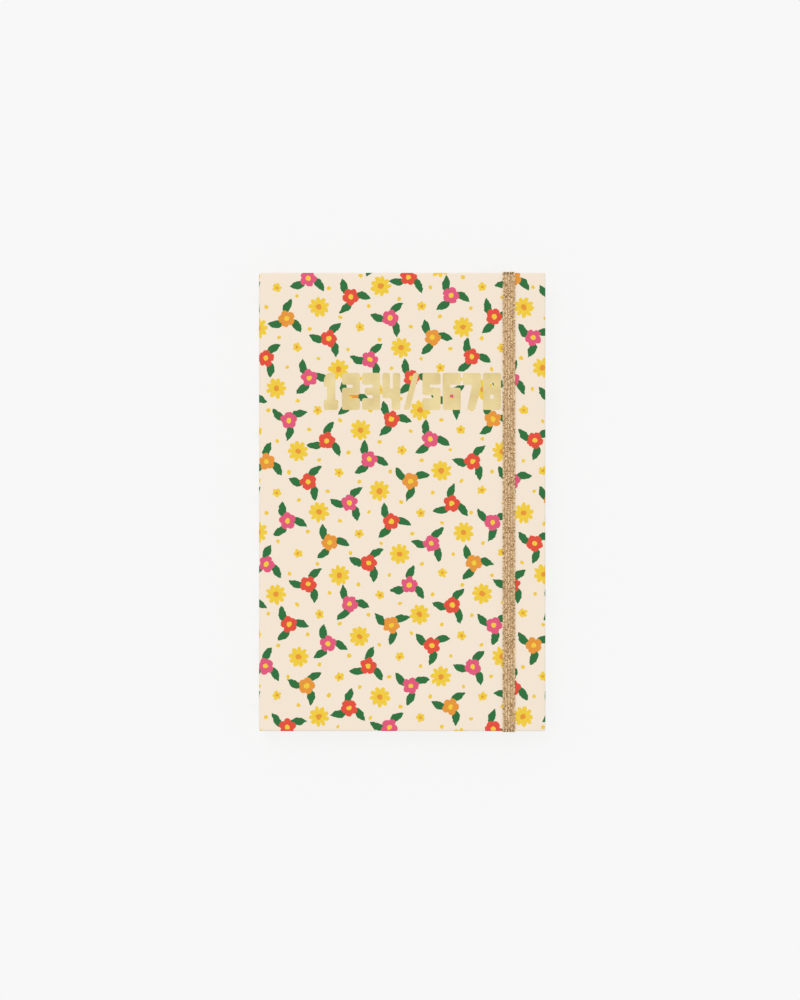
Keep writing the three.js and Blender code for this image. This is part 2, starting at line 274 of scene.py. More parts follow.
def printed_paper(look):
    """Art paper, offset printed and matt laminated: flat, strong colours on cream with a soft, low sheen."""
    made, tree = new_material("printed_matt_laminated_paper")
    lattice, petals, leaves = lattice_group(), petals_group(), leaves_group()
    place = add(tree, "ShaderNodeUVMap", uv_map="sheet")
    # Hand-cut edges: the outlines wander by a few tenths of a millimetre
    wander = add(tree, "ShaderNodeTexNoise", {
        "Vector": place, "Scale": 0.42, "Detail": 2.0, "Roughness": 0.6}).outputs["Color"]
    centred = add(tree, "ShaderNodeVectorMath", [wander, (0.5, 0.5, 0.5)], operation="SUBTRACT")
    point = add(tree, "ShaderNodeVectorMath", [centred, (1.5, 1.5, 0.0), place], operation="MULTIPLY_ADD")

    ground = add(tree, "ShaderNodeTexNoise", {"Vector": place, "Scale": 0.03, "Detail": 3.0})
    tint = add(tree, "ShaderNodeMapRange", {0: ground, 3: 0.98, 4: 1.01})
    colour = add(tree, "ShaderNodeMix", {0: 1.0, 6: linear("F5E6D3"), 7: tint}, **TINT).outputs[2]

    # Each motif has a lattice of its own: dots in the gaps, daisies and florets turn about, and blossoms
    pitch, turn = look.print_pitch / MM, math.atan(0.5)
    dots, daisies, blossoms = [
        add(tree, "ShaderNodeGroup", {"Point": point, **values}, node_tree=lattice).outputs for values in (
            {"Pitch": pitch / math.sqrt(2), "Turn": turn + math.pi / 4, "Jitter": 1.4, "Seed": 5.0},
            {"Pitch": pitch, "Turn": turn, "Jitter": 1.2, "Seed": 11.0},
            {"Pitch": pitch, "Turn": turn, "Shift": (0.5, 0.5, 0.0), "Jitter": 1.4, "Seed": 23.0})]

    def numbers(cells):
        """The column and row of a motif's cell, its random numbers, and how far round the motif is turned."""
        number = add(tree, "ShaderNodeSeparateXYZ", [cells["Cell"]]).outputs
        chance = add(tree, "ShaderNodeSeparateColor", [cells["Chance"]]).outputs
        return number, chance, add(tree, "ShaderNodeMath", [chance["Blue"], math.tau], operation="MULTIPLY")

    layers = [(add(tree, "ShaderNodeGroup", {
        "Local": dots["Local"], "Radius": 0.9, "Petals": 4.0, "Notch": 0.15}, node_tree=petals), "F2CA3A")]

    number, _, spin = numbers(daisies)
    total = add(tree, "ShaderNodeMath", [number["X"], number["Y"]], operation="ADD")
    odd = add(tree, "ShaderNodeMath", [total, 2.0], operation="FLOORED_MODULO")
    radius = add(tree, "ShaderNodeMapRange", {0: odd, 3: 2.1, 4: 4.6})
    count = add(tree, "ShaderNodeMapRange", {0: odd, 3: 5.0, 4: 9.0})
    layers.append((add(tree, "ShaderNodeGroup", {
        "Local": daisies["Local"], "Radius": radius, "Petals": count, "Notch": 0.42, "Turn": spin},
        node_tree=petals), "F3CD36"))
    eye = add(tree, "ShaderNodeMath", [radius, 0.27], operation="MULTIPLY")
    layers.append((add(tree, "ShaderNodeGroup", {
        "Local": daisies["Local"], "Radius": eye, "Notch": 0.0}, node_tree=petals), "E99631"))

    number, chance, spin = numbers(blossoms)
    # The leaves' tips point past the dots and the daisies: four ways round, each a little off
    fours = add(tree, "ShaderNodeMath", [chance["Green"], 4.0], operation="MULTIPLY")
    whole = add(tree, "ShaderNodeMath", [fours], operation="FLOOR")
    slack = add(tree, "ShaderNodeMath", [chance["Red"], 0.25, -0.92], operation="MULTIPLY_ADD")
    leaf_turn = add(tree, "ShaderNodeMath", [whole, QUARTER, slack], operation="MULTIPLY_ADD")
    whorl = add(tree, "ShaderNodeGroup", {"Local": blossoms["Local"], "Turn": leaf_turn}, node_tree=leaves)
    blossom = add(tree, "ShaderNodeGroup", {
        "Local": blossoms["Local"], "Radius": 3.75, "Petals": 5.0, "Notch": 0.27, "Turn": spin},
        node_tree=petals)
    layers += [(whorl, "1F6C33"), (blossom, "E54A34")]
    # A knight's move apart, the blossoms take turns: two of five stay red, two are pink and one is orange
    knight = add(tree, "ShaderNodeMath", [number["Y"], 2.0, number["X"]], operation="MULTIPLY_ADD")
    kind = add(tree, "ShaderNodeMath", [knight, 5.0], operation="FLOORED_MODULO")
    first, second, orange = [
        add(tree, "ShaderNodeMath", [kind, value, 0.5], operation="COMPARE") for value in (1.0, 4.0, 2.0)]
    pink = add(tree, "ShaderNodeMath", [first, second], operation="ADD")
    for chosen, ink in ((pink, "E3557A"), (orange, "E99631")):
        layers.append((add(tree, "ShaderNodeMath", [blossom, chosen], operation="MULTIPLY"), ink))
    layers.append((add(tree, "ShaderNodeGroup", {
        "Local": blossoms["Local"], "Radius": 1.1, "Notch": 0.0}, node_tree=petals), "F3CD36"))

    # The inks lie flat, with a little unevenness of the press
    press = add(tree, "ShaderNodeTexNoise", {"Vector": place, "Scale": 1.1, "Detail": 3.0})
    uneven = add(tree, "ShaderNodeMapRange", {0: press, 3: 0.88, 4: 1.08})
    for mask, ink in layers:
        shade = add(tree, "ShaderNodeMix", {0: 1.0, 6: linear(ink), 7: uneven}, **TINT).outputs[2]
        colour = add(tree, "ShaderNodeMix", {0: mask, 6: colour, 7: shade}, **BLEND).outputs[2]
    fibre = add(tree, "ShaderNodeTexNoise", {"Vector": place, "Scale": 2.5, "Detail": 4.0})
    bump = add(tree, "ShaderNodeBump", {"Height": fibre, "Strength": 0.25, "Distance": 0.02 * MM})
    add(tree, "ShaderNodeOutputMaterial", [add(tree, "ShaderNodeBsdfPrincipled", {
        "Base Color": colour, "Roughness": 0.58, "Specular IOR Level": 0.3, "Normal": bump})])
    return made


def page_paper():
    """Uncoated woodfree paper: warm white, matt, with the faint streaks of a trimmed stack at its edges."""
    made, tree = new_material("uncoated_page_paper")
    coordinates = add(tree, "ShaderNodeTexCoord").outputs
    place = coordinates["Object"]
    grain = add(tree, "ShaderNodeTexNoise", {"Vector": place, "Scale": 700.0, "Detail": 3.0})
    tone = add(tree, "ShaderNodeMapRange", {0: grain, 3: 0.97, 4: 1.01})
    colour = add(tree, "ShaderNodeMix", {0: 1.0, 6: linear("FAF5EA"), 7: tone}, **TINT).outputs[2]

    # Leaves are 0.1 mm thick, so the streaks at the edges are drawn about three leaves wide to show
    streak = add(tree, "ShaderNodeMapping", {"Vector": place, "Scale": (25.0, 25.0, 3200.0)})
    noise = add(tree, "ShaderNodeTexNoise", {"Vector": streak, "Scale": 1.0, "Detail": 2.0})
    shade = add(tree, "ShaderNodeMapRange", {0: noise, 1: 0.3, 2: 0.7, 3: 0.88, 4: 1.0})
    lines = add(tree, "ShaderNodeMix", {0: 1.0, 6: linear("F8F2E6"), 7: shade}, **TINT).outputs[2]
    facing = add(tree, "ShaderNodeSeparateXYZ", [coordinates["Normal"]]).outputs["Z"]
    flat = add(tree, "ShaderNodeMath", [facing], operation="ABSOLUTE")
    edge = add(tree, "ShaderNodeMath", [flat, 0.6], operation="LESS_THAN")
    colour = add(tree, "ShaderNodeMix", {0: edge, 6: colour, 7: lines}, **BLEND).outputs[2]

    # The month's grid, printed on the two faces that meet in the middle of the block
    axes = add(tree, "ShaderNodeSeparateXYZ", [place]).outputs
    rules, reach = [], []
    for axis, start, step, count in (("X", GRID_X, COLUMN, COLUMNS), ("Y", GRID_Y, ROW, ROWS)):
        from_start = add(tree, "ShaderNodeMath", [axes[axis], start], operation="SUBTRACT")
        nearest = add(tree, "ShaderNodeMath", [from_start, step / 2], operation="PINGPONG")
        rules.append(add(tree, "ShaderNodeMath", [nearest, RULE / 2], operation="LESS_THAN"))
        middle = add(tree, "ShaderNodeMath", [from_start, step * count / 2], operation="SUBTRACT")
        far = add(tree, "ShaderNodeMath", [middle], operation="ABSOLUTE")
        reach.append(add(tree, "ShaderNodeMath", [far, (step * count + RULE) / 2], operation="LESS_THAN"))
    either = add(tree, "ShaderNodeMath", rules, operation="MAXIMUM")
    within = add(tree, "ShaderNodeMath", reach, operation="MULTIPLY")
    grid = add(tree, "ShaderNodeMath", [either, within], operation="MULTIPLY")
    # A tinted band over the columns, where the days' names would stand
    above = add(tree, "ShaderNodeMath", [axes["Y"], GRID_Y + ROW * ROWS + BAND / 2], operation="SUBTRACT")
    near = add(tree, "ShaderNodeMath", [above], operation="ABSOLUTE")
    in_band = add(tree, "ShaderNodeMath", [near, BAND / 2], operation="LESS_THAN")
    band = add(tree, "ShaderNodeMath", [in_band, reach[0]], operation="MULTIPLY")
    from_middle = add(tree, "ShaderNodeMath", [axes["Z"], MIDDLE_Z], operation="SUBTRACT")
    close = add(tree, "ShaderNodeMath", [from_middle], operation="ABSOLUTE")
    spread = add(tree, "ShaderNodeMath", [close, 0.08 * MM], operation="LESS_THAN")
    for mask, ink in ((band, "F3C9CF"), (grid, "8E8A86")):
        printed = add(tree, "ShaderNodeMath", [mask, spread], operation="MULTIPLY")
        colour = add(tree, "ShaderNodeMix", {0: printed, 6: colour, 7: linear(ink)}, **BLEND).outputs[2]
    bump = add(tree, "ShaderNodeBump", {"Height": grain, "Strength": 0.15, "Distance": 0.02 * MM})
    add(tree, "ShaderNodeOutputMaterial", [add(tree, "ShaderNodeBsdfPrincipled", {
        "Base Color": colour, "Roughness": 0.88, "Specular IOR Level": 0.2, "Normal": bump})])
    return made


def endpaper():
    """Heavier uncoated paper of the endleaves: a little creamier than the pages, with soft fibre clouds."""
    made, tree = new_material("uncoated_endpaper")
    place = add(tree, "ShaderNodeTexCoord").outputs["Object"]
    cloud = add(tree, "ShaderNodeTexNoise", {"Vector": place, "Scale": 260.0, "Detail": 4.0})
    tone = add(tree, "ShaderNodeMapRange", {0: cloud, 3: 0.96, 4: 1.02})
    colour = add(tree, "ShaderNodeMix", {0: 1.0, 6: linear("F4ECDD"), 7: tone}, **TINT).outputs[2]
    bump = add(tree, "ShaderNodeBump", {"Height": cloud, "Strength": 0.2, "Distance": 0.03 * MM})
    add(tree, "ShaderNodeOutputMaterial", [add(tree, "ShaderNodeBsdfPrincipled", {
        "Base Color": colour, "Roughness": 0.85, "Specular IOR Level": 0.2, "Normal": bump})])
    return made


def greyboard():
    """Recycled greyboard: dull grey-brown with darker and lighter flecks of pulp."""
    made, tree = new_material("greyboard")
    place = add(tree, "ShaderNodeTexCoord").outputs["Object"]
    fleck = add(tree, "ShaderNodeTexNoise", {"Vector": place, "Scale": 1400.0, "Detail": 3.0})
    share = add(tree, "ShaderNodeMapRange", {0: fleck, 1: 0.3, 2: 0.7}, clamp=True)
    colour = add(tree, "ShaderNodeMix", {
        0: share, 6: linear("7D776B"), 7: linear("A09A8D")}, **BLEND).outputs[2]
    bump = add(tree, "ShaderNodeBump", {"Height": fleck, "Strength": 0.4, "Distance": 0.05 * MM})
    add(tree, "ShaderNodeOutputMaterial", [add(tree, "ShaderNodeBsdfPrincipled", {
        "Base Color": colour, "Roughness": 0.95, "Normal": bump})])
    return made


def mull_cloth():
    """Open-weave mull, glued over the folds: pale cotton threads with darker gaps."""
    made, tree = new_material("mull_lining_cloth")
    place = add(tree, "ShaderNodeUVMap", uv_map="sheet")
    threads = [
        add(tree, "ShaderNodeTexWave", {"Vector": place, "Scale": 0.7}, bands_direction=way) for way in "XY"]
    weave = add(tree, "ShaderNodeMath", threads, operation="MAXIMUM")
    colour = add(tree, "ShaderNodeMix", {
        0: weave, 6: linear("B9B2A2"), 7: linear("ECE7DB")}, **BLEND).outputs[2]
    bump = add(tree, "ShaderNodeBump", {"Height": weave, "Strength": 0.6, "Distance": 0.08 * MM})
    add(tree, "ShaderNodeOutputMaterial", [add(tree, "ShaderNodeBsdfPrincipled", {
        "Base Color": colour, "Roughness": 0.95, "Normal": bump})])
    return made


def lurex_elastic():
    """Elastic braided with metallised film yarn: gold that glitters, as each stitch catches light of its own.

    The attribute glint is 0 for painted shade, the dark brown that the band gets between the ribs where the
    strap bends round the front cover's edges, GROUND for the band between the stitches, and from DULL_YARN
    to 1 for the stitches themselves.
    """
    made, tree = new_material("lurex_braided_elastic")
    glint = add(tree, "ShaderNodeAttribute", attribute_name="glint").outputs["Fac"]
    ramp = add(tree, "ShaderNodeValToRGB", [glint])
    # The ramp starts with painted shade: a dark brown for the grooves between the ribs where the strap bends
    painted_bend_shade, bright = ramp.color_ramp.elements
    painted_bend_shade.color, bright.color = linear("5E452C"), linear("FFEFC8")
    for position, ink in ((DULL_YARN, "91714A"), (0.33, "B79366"), (0.42, "E7C499")):
        ramp.color_ramp.elements.new(position).color = linear(ink)
    add(tree, "ShaderNodeOutputMaterial", [add(tree, "ShaderNodeBsdfPrincipled", {
        "Base Color": ramp, "Metallic": 0.55, "Roughness": 0.38})])
    return made


def printed_ink():
    """Offset ink on uncoated paper: soft dark grey, matt, a little sunk in."""
    made, tree = new_material("offset_printed_ink")
    place = add(tree, "ShaderNodeTexCoord").outputs["Object"]
    grain = add(tree, "ShaderNodeTexNoise", {"Vector": place, "Scale": 3000.0, "Detail": 2.0})
    colour = add(tree, "ShaderNodeMix", {
        0: grain, 6: linear("55524F"), 7: linear("77736F")}, **BLEND).outputs[2]
    add(tree, "ShaderNodeOutputMaterial", [add(tree, "ShaderNodeBsdfPrincipled", {
        "Base Color": colour, "Roughness": 0.85, "Specular IOR Level": 0.2})])
    return made


def gold_foil():
    """Hot-stamped foil: pale gold, metallic but matt, a little uneven where it took on the paper."""
    made, tree = new_material("matt_gold_foil")
    place = add(tree, "ShaderNodeTexCoord").outputs["Object"]
    cloud = add(tree, "ShaderNodeTexNoise", {"Vector": place, "Scale": 90.0, "Detail": 3.0})
    share = add(tree, "ShaderNodeMapRange", {0: cloud, 1: 0.35, 2: 0.65}, clamp=True)
    colour = add(tree, "ShaderNodeMix", {
        0: share, 6: linear("CAB57F"), 7: linear("D8C793")}, **BLEND).outputs[2]
    grain = add(tree, "ShaderNodeTexNoise", {"Vector": place, "Scale": 2500.0, "Detail": 2.0})
    bump = add(tree, "ShaderNodeBump", {"Height": grain, "Strength": 0.2, "Distance": 0.02 * MM})
    add(tree, "ShaderNodeOutputMaterial", [add(tree, "ShaderNodeBsdfPrincipled", {
        "Base Color": colour, "Metallic": 0.8, "Roughness": 0.45, "Normal": bump})])
    return made


# Ways to make a mesh

def evaluated_mesh(made):
    """The mesh that an object's modifiers, curve or text make."""
    graph = bpy.context.evaluated_depsgraph_get()
    return bpy.data.meshes.new_from_object(
        made.evaluated_get(graph), preserve_all_data_layers=True, depsgraph=graph)


def thicken(made, thick, offset):
    """Gives a sheet its thickness, and works that into its mesh."""
    wall = made.modifiers.new("thickness", "SOLIDIFY")
    wall.thickness, wall.offset = thick, offset
    old, made.data = made.data, evaluated_mesh(made)
    made.modifiers.clear()
    made.data.name = made.name
    bpy.data.meshes.remove(old)


class Sheet:
    """Collects the points and faces of a sheet of paper, with the place of each corner on the flat sheet."""

    def __init__(self):
        self.mesh = bmesh.new()
        self.map = self.mesh.loops.layers.uv.new("sheet")

    def patch(self, points, places, flip=False):
        """A grid of faces from rows of points; places are the same points on the flat sheet, in metres."""
        rows = [[self.mesh.verts.new(p) for p in row] for row in points]
        for i in range(len(rows) - 1):
            for j in range(len(rows[i]) - 1):
                corners = [(i, j), (i, j + 1), (i + 1, j + 1), (i + 1, j)]
                if flip:
                    corners.reverse()
                face = self.mesh.faces.new([rows[a][b] for a, b in corners])
                face.smooth = True
                for loop, (a, b) in zip(face.loops, corners):
                    loop[self.map].uv = [v * SHEET_UNITS for v in places[a][b]]

    def finish(self, name, material, thick):
        """Welds the patches, gives the paper its thickness inwards, and returns the plain mesh object."""
        bmesh.ops.remove_doubles(self.mesh, verts=self.mesh.verts, dist=0.5e-6)
        bmesh.ops.dissolve_degenerate(self.mesh, edges=self.mesh.edges, dist=0.5e-6)
        data = bpy.data.meshes.new(name)
        self.mesh.to_mesh(data)
        self.mesh.free()
        data.materials.append(material)
        made = new_object(name, data)
        thicken(made, thick, -1.0)
        made.data.set_sharp_from_angle(angle=math.radians(40))
        return made


def edge_roll(thick, radius, flap):
    """The sheet's way round an edge: how far in from the outline, how deep, and how far along the sheet."""
    roll = []
    for a in steps(0, QUARTER, ROLL_STEPS):
        roll.append((radius * (1 - math.sin(a)), radius * (1 - math.cos(a)), radius * a))
    for a in steps(0, QUARTER, ROLL_STEPS):
        run = radius * QUARTER + thick - 2 * radius + radius * a
        roll.append((radius * (1 - math.cos(a)), thick - radius + radius * math.sin(a), run))
    end = roll[-1][2]
    for inset in (MITRE_START, flap):
        roll.append((inset, thick, end + inset - radius))
    return roll


def add_edge_walls(sheet, thick, point, place, flip):
    """Beside a crease the end of a turn-in goes down the board's edge, at the head and at the tail.

    The point and the place follow from the way (1 is the head), how far in from the outline and how deep.
    """
    roll = edge_roll(thick - 2 * WRAP_THICK, EDGE_RADIUS - WRAP_THICK, TURN_IN - WRAP_THICK)
    rim = [(inset + WRAP_THICK, depth + WRAP_THICK) for inset, depth, run in roll]
    rows = rim, [(max(inset, EDGE_RADIUS), WRAP_THICK) for inset, depth in rim]
    for way in (1, -1):
        sheet.patch(
            [[point(way, *at) for at in row] for row in rows],
            [[place(way, *at) for at in row] for row in rows], flip if way > 0 else not flip)


def joined(made, extra):
    """The first piece with the mesh of the second one added to it."""
    work = bmesh.new()
    for piece in (made, extra):
        work.from_mesh(piece.data)
    work.to_mesh(made.data)
    work.free()
    bpy.data.objects.remove(extra)
    return made


def make_cover_paper(name, material, outer_z, inward, side):
    """The paper of one board: its outer face, rolled round head, tail and fore edge and turned in behind."""
    sheet, walls = Sheet(), Sheet()
    start_x = COVER_LOW.x
    flip = inward > 0
    roll = edge_roll(COVER_THICK, EDGE_RADIUS, TURN_IN)
    turned = roll[-1][2] - TURN_IN

    def across(x):
        """Where the flat sheet has the point of a cover at x."""
        return side * (COVER_RUN + x - CREASE_HIGH.x)

    def slit(inset):
        """Half of the open mitre between two turn-ins, along one of them."""
        return MITRE_SLIT / math.sqrt(2) if inset > MITRE_START + MM else 0.0

    columns, rows = steps(start_x, FLAT_X, ACROSS_STEPS), steps(-FLAT_Y, FLAT_Y, DOWN_STEPS)
    sheet.patch(
        [[(x, y, outer_z) for x in columns] for y in rows],
        [[(across(x), y) for x in columns] for y in rows], flip)

    # The head and the tail, each with its corner: a fan that opens and shuts again
    for way in (1, -1):
        way_flip = flip if way > 0 else not flip
        points, places = [], []
        for inset, depth, run in roll:
            line = steps(start_x, FORE_X - max(inset, CORNER_RADIUS) - slit(inset), ACROSS_STEPS)
            points.append([(x, way * (HEAD_Y - inset), outer_z + inward * depth) for x in line])
            places.append([(across(x), way * (FLAT_Y + run)) for x in line])
        sheet.patch(points, places, way_flip)
        points, places = [], []
        for inset, depth, run in roll[:-1]:
            reach, middle = max(CORNER_RADIUS - inset, 0.0), max(inset, CORNER_RADIUS)
            fan = [(math.sin(a), math.cos(a)) for a in steps(0, QUARTER, ROLL_STEPS)]
            points.append([(FORE_X - middle + reach * sine, way * (HEAD_Y - middle + reach * cosine),
                            outer_z + inward * depth) for sine, cosine in fan])
            places.append([
                (across(FLAT_X + run * sine), way * (FLAT_Y + run * cosine)) for sine, cosine in fan])
        keep = [i for i, (inset, depth, run) in enumerate(roll[:-1]) if inset < CORNER_RADIUS]
        first, last = max(keep[0] - 1, 0), keep[-1] + 2
        sheet.patch(points[first:last], places[first:last], way_flip)

    points, places = [], []
    for inset, depth, run in roll:
        end_y = HEAD_Y - max(inset, CORNER_RADIUS) - slit(inset)
        line = steps(-end_y, end_y, DOWN_STEPS)
        points.append([(FORE_X - inset, y, outer_z + inward * depth) for y in line])
        places.append([(across(FLAT_X + run), y) for y in line])
    sheet.patch(points, places, not flip)

    add_edge_walls(
        walls, COVER_THICK,
        lambda way, inset, depth: (start_x, way * (HEAD_Y - inset), outer_z + inward * depth),
        lambda way, inset, depth: (
            across(start_x - COVER_THICK + depth), way * (FLAT_Y + turned + inset)), flip)
    paper = sheet.finish(name, material, WRAP_THICK)
    return joined(paper, walls.finish(name + "_walls", material, WALL_THICK))


def down_the_sheet(tail_to_edge):
    """From tail to head: how deep, how far up and where on the sheet, with an edge's way at both ends."""
    line = [(depth, -(HEAD_Y - inset), -(FLAT_Y + run)) for inset, depth, run in reversed(tail_to_edge)]
    line += [(0.0, y, y) for y in steps(-FLAT_Y, FLAT_Y, DOWN_STEPS)[1:-1]]
    return line + [(depth, HEAD_Y - inset, FLAT_Y + run) for inset, depth, run in tail_to_edge]


def make_spine_paper(name, material):
    """The paper of the spine strip, turned in over its head and tail."""
    sheet, walls = Sheet(), Sheet()
    roll = edge_roll(SPINE_THICK, EDGE_RADIUS, TURN_IN)
    turned = roll[-1][2] - TURN_IN
    levels = [SPINE_LOW.z, SPINE_HIGH.z]
    line = down_the_sheet(roll)
    sheet.patch(
        [[(SPINE_X + depth, y, z) for depth, y, run in line] for z in levels],
        [[(z - MIDDLE_Z, run) for depth, y, run in line] for z in levels], True)
    for z, end in zip(levels, (-1, 1)):
        add_edge_walls(
            walls, SPINE_THICK, lambda way, inset, depth: (SPINE_X + depth, way * (HEAD_Y - inset), z),
            lambda way, inset, depth: (
                z - MIDDLE_Z + end * (SPINE_THICK - depth), way * (FLAT_Y + turned + inset)), end > 0)
    paper = sheet.finish(name, material, WRAP_THICK)
    return joined(paper, walls.finish(name + "_walls", material, WALL_THICK))


def make_crease_paper(name, material, way):
    """The bare strip of paper that bends between a cover and the spine, folded in double at head and tail."""
    sheet = Sheet()
    doubled = 2 * WRAP_THICK + 0.04 * MM  # two layers with a little air between
    # As deep as the boards beside it at the edge, then drawn in where no board holds the fold open
    hem = [(EDGE_RADIUS * (1 - math.sin(a)), EDGE_RADIUS * (1 - math.cos(a)), EDGE_RADIUS * a)
           for a in steps(0, QUARTER, HEM_STEPS)]
    start = hem[-1]
    for inset, depth in HEM_SHAPE:
        depth = max(depth * MM, doubled)
        step = math.hypot(inset * MM - start[0], depth - start[1])
        start = (inset * MM, depth, start[2] + step)
        hem.append(start)
    line = down_the_sheet(hem)
    centre_x, centre_z = CREASE_HIGH.x, MIDDLE_Z + way * HALF_SPINE
    # One more row at both ends goes a little past the bend, to meet the papers beside it
    below, beyond = HALF_SPINE - (SPINE_HIGH.z - MIDDLE_Z), COVER_LOW.x - centre_x
    bend = steps(0, QUARTER, CREASE_STEPS)
    rows = [(bend[0], 0.0, -below), *((a, 0.0, 0.0) for a in bend), (bend[-1], beyond, 0.0)]
    sheet.patch(
        [[(centre_x - (CREASE_RADIUS - depth) * math.cos(a) + slip_x, y,
           centre_z + way * ((CREASE_RADIUS - depth) * math.sin(a) + slip_z)) for depth, y, run in line]
         for a, slip_x, slip_z in rows],
        [[(way * (HALF_SPINE + CREASE_RADIUS * a + slip_x + slip_z), run) for depth, y, run in line]
         for a, slip_x, slip_z in rows], way > 0)
    return sheet.finish(name, material, WRAP_THICK)


def make_lining(name, material):
    """The strip of mull over the folds of the sections."""
    sheet = Sheet()
    levels = steps(LINING_LOW.z, LINING_HIGH.z, LINING_STEPS)
    line = steps(LINING_LOW.y, LINING_HIGH.y, DOWN_STEPS)
    sheet.patch(
        [[(LINING_LOW.x, y, z) for y in line] for z in levels],
        [[(z, y) for y in line] for z in levels], True)
    return sheet.finish(name, material, LINING_HIGH.x - LINING_LOW.x)


# Numerals: block shapes of the builder's own, on a cell 8 wide and 16.4 high, in millimetres

FOIL_ROW = "1234/5678"
GLYPH_WIDTH, GLYPH_HEIGHT, GLYPH_ROUND = 8.0, 16.4, 1.1
GLYPHS = {
    "1": [[(0.9, 0), (7.3, 0), (7.3, 4.4), (6.0, 4.4), (6.0, 16.4), (2.4, 16.4), (0.9, 13.8), (0.9, 10.4),
           (2.3, 10.4), (2.3, 4.4), (0.9, 4.4)]],
    "2": [[(0, 0), (8, 0), (8, 5.2), (3.2, 5.2), (3.2, 6.6), (8, 6.6), (8, 16.4), (0, 16.4), (0, 11.2),
           (4.8, 11.2), (4.8, 9.8), (0, 9.8)]],
    "3": [[(0, 0), (8, 0), (8, 16.4), (0, 16.4), (0, 11.2), (4.8, 11.2), (4.8, 9.8), (1.2, 9.8), (1.2, 6.6),
           (4.8, 6.6), (4.8, 5.2), (0, 5.2)]],
    "4": [[(4.2, 0), (8, 0), (8, 16.4), (4.7, 16.4), (4.7, 9.4), (3.4, 9.4), (3.4, 16.4), (0, 16.4), (0, 5.2),
           (4.2, 5.2)]],
    "5": [[(0, 0), (8, 0), (8, 9.8), (3.2, 9.8), (3.2, 11.2), (8, 11.2), (8, 16.4), (0, 16.4), (0, 6.6),
           (4.8, 6.6), (4.8, 5.2), (0, 5.2)]],
    "6": [[(0, 0), (8, 0), (8, 9.8), (3.2, 9.8), (3.2, 11.2), (8, 11.2), (8, 16.4), (0, 16.4)],
          [(3.2, 5.0), (3.2, 6.8), (4.8, 6.8), (4.8, 5.0)]],
    "7": [[(1.8, 0), (5.4, 0), (8, 10.2), (8, 16.4), (0, 16.4), (0, 11.2), (4.2, 11.2)]],
    "8": [[(0, 0), (8, 0), (8, 16.4), (0, 16.4)], [(3.2, 4.8), (3.2, 6.8), (4.8, 6.8), (4.8, 4.8)],
          [(3.2, 10.0), (3.2, 12.0), (4.8, 12.0), (4.8, 10.0)]],
    "/": [[(0.5, 0), (3.1, 0), (7.5, 16.4), (4.9, 16.4)]],
}


def rounded(outline, radius, count=5):
    """The outline with each corner rounded, by less where its sides are short."""
    points = []
    for i, corner in enumerate(outline):
        here = Vector(corner)
        before, after = Vector(outline[i - 1]) - here, Vector(outline[(i + 1) % len(outline)]) - here
        reach = min(radius, before.length * 0.45, after.length * 0.45)
        a, b = here + before.normalized() * reach, here + after.normalized() * reach
        points += [a * (1 - t) ** 2 + here * 2 * t * (1 - t) + b * t ** 2 for t in steps(0, 1, count)]
    return points


def add_line(curve, points, closed=False):
    """A straight-sided line through the points on a curve."""
    spline = curve.splines.new("POLY")
    spline.points.add(len(points) - 1)
    spline.use_cyclic_u = closed
    for at, point in zip(spline.points, points):
        at.co = (*point, 1.0)


def make_numerals(name, material, look):
    """Nine foil shapes in a row, drawn as flat curves and given the thickness of foil."""
    curve = bpy.data.curves.new(name, "CURVE")
    curve.dimensions = "2D"
    curve.fill_mode = "BOTH"
    pitch = (look.row_width / MM - GLYPH_WIDTH) / (len(FOIL_ROW) - 1)
    for place, glyph in enumerate(FOIL_ROW):
        for outline in GLYPHS[glyph]:
            points = rounded([(x + place * pitch, y) for x, y in outline], GLYPH_ROUND)
            add_line(curve, [(p.x * MM, p.y * look.row_height / GLYPH_HEIGHT, 0.0) for p in points], True)
    curve.extrude = look.foil_thick / 2
    source = new_object(name, curve)
    data = evaluated_mesh(source)
    bpy.data.objects.remove(source)
    for vertex in data.vertices:
        vertex.co += Vector((look.row_left, look.row_bottom, THICK + look.foil_thick / 2))
    work = bmesh.new()
    work.from_mesh(data)
    bmesh.ops.remove_doubles(work, verts=work.verts, dist=1e-6)
    bmesh.ops.recalc_face_normals(work, faces=work.faces)
    work.to_mesh(data)
    work.free()
    data.materials.clear()
    data.materials.append(material)
    return new_object(name, data)


def make_numbers(name, numbers, material):
    """Small printed numbers, each at its place: text that is made a mesh with the thickness of ink."""
    work = bmesh.new()
    for text, x, y in numbers:
        curve = bpy.data.curves.new("number", "FONT")
        curve.body, curve.size, curve.resolution_u, curve.extrude = text, NUMBER_SIZE, 3, INK_HALF
        source = new_object("number", curve)
        data = evaluated_mesh(source)
        for vertex in data.vertices:
            vertex.co += Vector((x, y, INK_LIFT))
        work.from_mesh(data)
        bpy.data.objects.remove(source)
    bmesh.ops.remove_doubles(work, verts=work.verts, dist=1e-7)
    data = bpy.data.meshes.new(name)
    work.to_mesh(data)
    work.free()
    for face in data.polygons:
        face.use_smooth = False
    data.materials.append(material)
    return new_object(name, data)


# Geometry Nodes

